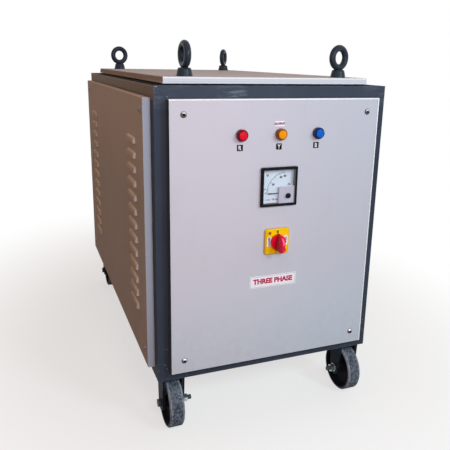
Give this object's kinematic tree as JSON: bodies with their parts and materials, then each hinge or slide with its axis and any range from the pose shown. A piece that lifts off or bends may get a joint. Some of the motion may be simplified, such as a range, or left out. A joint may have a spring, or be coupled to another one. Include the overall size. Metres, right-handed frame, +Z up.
{
  "type": "variable autotransformer",
  "caption": "Floor-standing motor-driven three-phase variable autotransformer in a louvred steel cabinet on castors, with lifting eyes, lamps, voltmeter and rotary switch.",
  "frame": {"origin": "on the floor, under the middle of the cabinet", "axes": "+Z up; -Y is the front with the voltmeter; +X to the right seen from the front"},
  "size_m": [0.6504, 1.166, 0.9708],
  "materials": {
    "frame_paint": "satin slate-grey enamel over welded tube",
    "eye_paint": "slate-grey brushed enamel over forged steel",
    "castor_paint": "slate-grey enamel over steel plate",
    "panel_paint": "fine-textured light grey powder coat",
    "galvanised_sheet": "galvanised sheet",
    "screw_steel": "nickel-plated steel",
    "axle_steel": "dull painted steel",
    "zinc_plate": "bright zinc plate",
    "wheel_iron": "worn painted cast iron",
    "lamp_bezel_plastic": "glossy moulding in each lamp's colour",
    "red_lens": "translucent red moulding",
    "amber_lens": "translucent amber moulding",
    "blue_lens": "translucent blue moulding",
    "meter_black": "satin black moulding",
    "meter_glass": "clear flat pane",
    "dial_white": "matt white printed scale plate",
    "cover_white": "white moulding",
    "pointer_black": "matt black",
    "switch_yellow": "satin yellow moulding",
    "switch_red": "glossy red moulding",
    "spindle_steel": "ground steel",
    "switch_black": "black moulding",
    "label_sheet": "thin printed label sheet",
    "end_frame_iron": "painted cast iron",
    "bearing_bronze": "oiled bronze",
    "laminate_board": "brown laminated board",
    "core_steel": "wound steel strip",
    "winding_copper": "enamelled copper wire",
    "spacer_tube": "cut steel tube",
    "arm_aluminium": "cast aluminium",
    "brush_carbon": "electrographite",
    "collector_brass": "turned brass",
    "gear_iron": "cut gear iron",
    "bracket_steel": "grey paint",
    "motor_paint": "dark grey enamel",
    "gland_brass": "nickel-plated brass"
  },
  "bodies": {
    "cabinet": {"frame_posts": "frame_paint", "base_side_rails": "frame_paint", "base_cross_rails": "frame_paint", "top_side_rails": "frame_paint", "top_cross_rails": "frame_paint", "lifting_bars": "frame_paint", "panel_fixing_tabs": "frame_paint", "lifting_eye_bolts": "eye_paint", "castor_forks": "castor_paint", "front_panel": "panel_paint", "rear_panel": "panel_paint", "left_side_panel": "panel_paint", "right_side_panel": "panel_paint", "top_cover": "panel_paint", "base_plate": "galvanised_sheet", "panel_screws": "screw_steel", "axle_bolts": "axle_steel", "axle_nuts": "zinc_plate", "tie_rods": "zinc_plate", "tie_rod_nuts": "zinc_plate", "pilot_lamp_bodies": "lamp_bezel_plastic", "red_lamp_lens": "red_lens", "amber_lamp_lens": "amber_lens", "blue_lamp_lens": "blue_lens", "meter_case": "meter_black", "meter_glass": "meter_glass", "meter_dial": "dial_white", "meter_hub_cover": "cover_white", "switch_plate": "switch_yellow", "switch_cam_block": "switch_black", "limit_switches": "switch_black", "label_plates": "label_sheet", "lower_end_frame": "end_frame_iron", "upper_end_frame": "end_frame_iron", "shaft_bearings": "bearing_bronze", "coil_support_plates": "laminate_board", "terminal_board": "laminate_board", "toroid_cores": "core_steel", "toroid_windings": "winding_copper", "tie_rod_spacers": "spacer_tube", "collector_straps": "collector_brass", "terminal_studs": "collector_brass", "earth_stud": "collector_brass", "motor_bracket": "bracket_steel", "gear_motor": "motor_paint", "cable_glands": "gland_brass"},
    "front_left_wheel": {"front_left_wheel": "wheel_iron"},
    "front_right_wheel": {"front_right_wheel": "wheel_iron"},
    "rear_left_wheel": {"rear_left_wheel": "wheel_iron"},
    "rear_right_wheel": {"rear_right_wheel": "wheel_iron"},
    "raise_lower_switch": {"switch_knob": "switch_red", "switch_spindle": "spindle_steel"},
    "voltmeter_pointer": {"meter_pointer": "pointer_black"},
    "zero_adjuster": {"meter_zero_screw": "meter_black"},
    "brush_shaft": {"main_shaft": "spindle_steel", "brush_arms": "arm_aluminium", "carbon_brushes": "brush_carbon", "collector_rings": "collector_brass", "drive_gear": "gear_iron"},
    "motor_output": {"motor_pinion": "spindle_steel"}
  },
  "joints": [
    {"name": "front_left_wheel_spin", "type": "hinge", "parent": "cabinet", "child": "front_left_wheel", "pos_m": [-0.2586, -0.494, 0.065], "axis": [1, 0, 0], "continuous": true},
    {"name": "front_right_wheel_spin", "type": "hinge", "parent": "cabinet", "child": "front_right_wheel", "pos_m": [0.2586, -0.494, 0.065], "axis": [1, 0, 0], "continuous": true},
    {"name": "rear_left_wheel_spin", "type": "hinge", "parent": "cabinet", "child": "rear_left_wheel", "pos_m": [-0.2586, 0.494, 0.065], "axis": [1, 0, 0], "continuous": true},
    {"name": "rear_right_wheel_spin", "type": "hinge", "parent": "cabinet", "child": "rear_right_wheel", "pos_m": [0.2586, 0.494, 0.065], "axis": [1, 0, 0], "continuous": true},
    {"name": "switch_turn", "type": "hinge", "parent": "cabinet", "child": "raise_lower_switch", "pos_m": [0, -0.56, 0.494], "axis": [0, 1, 0], "range_deg": [-45, 45], "stiffness_Nm_per_rad": 0.05},
    {"name": "pointer_swing", "type": "hinge", "parent": "cabinet", "child": "voltmeter_pointer", "pos_m": [0.024, -0.546, 0.61], "axis": [0, 1, 0], "range_deg": [0, 90], "stiffness_Nm_per_rad": 0.002},
    {"name": "zero_adjuster_turn", "type": "hinge", "parent": "cabinet", "child": "zero_adjuster", "pos_m": [0.024, -0.555, 0.61], "axis": [0, 1, 0], "range_deg": [-20, 20]},
    {"name": "brush_shaft_turn", "type": "hinge", "parent": "cabinet", "child": "brush_shaft", "pos_m": [0, 0.09, 0.5], "axis": [0, 0, 1], "range_deg": [0, 318]},
    {"name": "motor_output_turn", "type": "hinge", "parent": "cabinet", "child": "motor_output", "pos_m": [0.15, 0.09, 0.78], "axis": [0, 0, 1], "range_deg": [-1272, 0]}
  ],
  "couplings": [
    {"joint": "motor_output_turn", "follows": "brush_shaft_turn", "ratio": -4}
  ]
}
